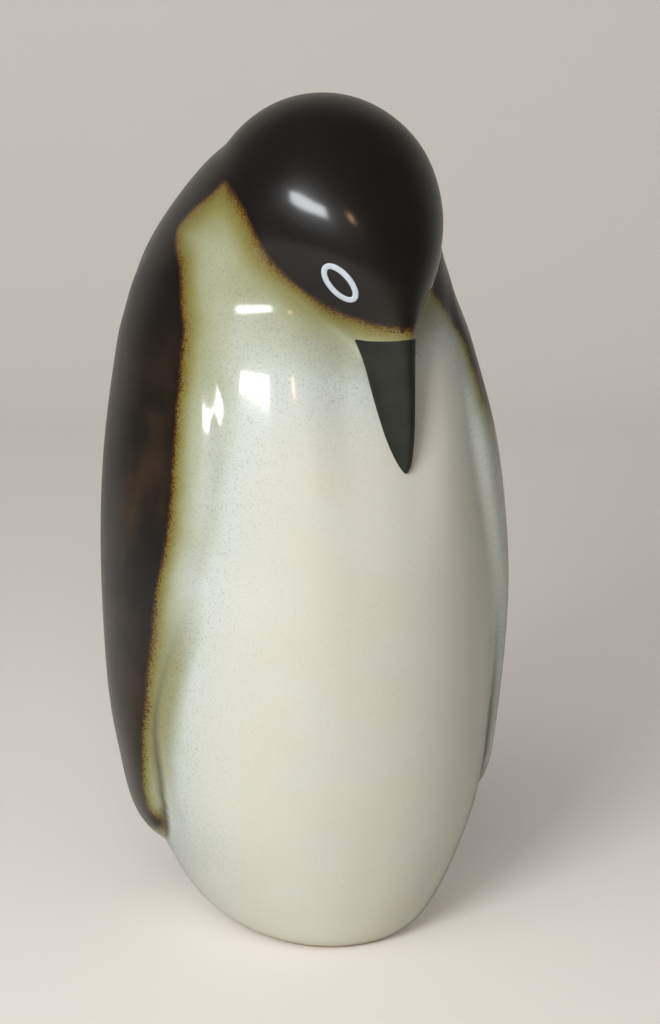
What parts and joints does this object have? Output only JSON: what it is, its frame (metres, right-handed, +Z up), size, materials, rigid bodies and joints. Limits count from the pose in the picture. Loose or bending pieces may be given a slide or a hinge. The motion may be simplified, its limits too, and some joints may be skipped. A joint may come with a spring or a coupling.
{
  "type": "penguin figurine",
  "caption": "Hollow glazed stoneware penguin that stands upright with its head bowed and turned, its bill resting on its breast and its flippers laid along its sides.",
  "frame": {"origin": "on the surface that the figure stands on, below the middle of its bounding box", "axes": "+Z up, -Y the way the body faces, +X the penguin's own left"},
  "size_m": [0.1996, 0.1917, 0.4015],
  "materials": {
    "breast_glaze": "gloss, cream white shading through olive to dark brown",
    "back_glaze": "gloss, very dark brown with a lighter mottle",
    "head_glaze": "gloss, very dark brown with an olive edge",
    "flipper_glaze": "gloss, very dark brown with an olive edge",
    "bill_glaze": "matte dark grey green",
    "eye_slip": "satin pale blue white",
    "bare_clay": "matte, unglazed"
  },
  "bodies": {
    "root": {"breast_shell": "breast_glaze", "back_shell": "back_glaze", "head_shell": "head_glaze", "base_slab": "bare_clay", "flipper_left": "flipper_glaze", "flipper_right": "flipper_glaze", "bill": "bill_glaze", "eye_ring_left": "eye_slip", "eye_ring_right": "eye_slip"}
  },
  "joints": []
}
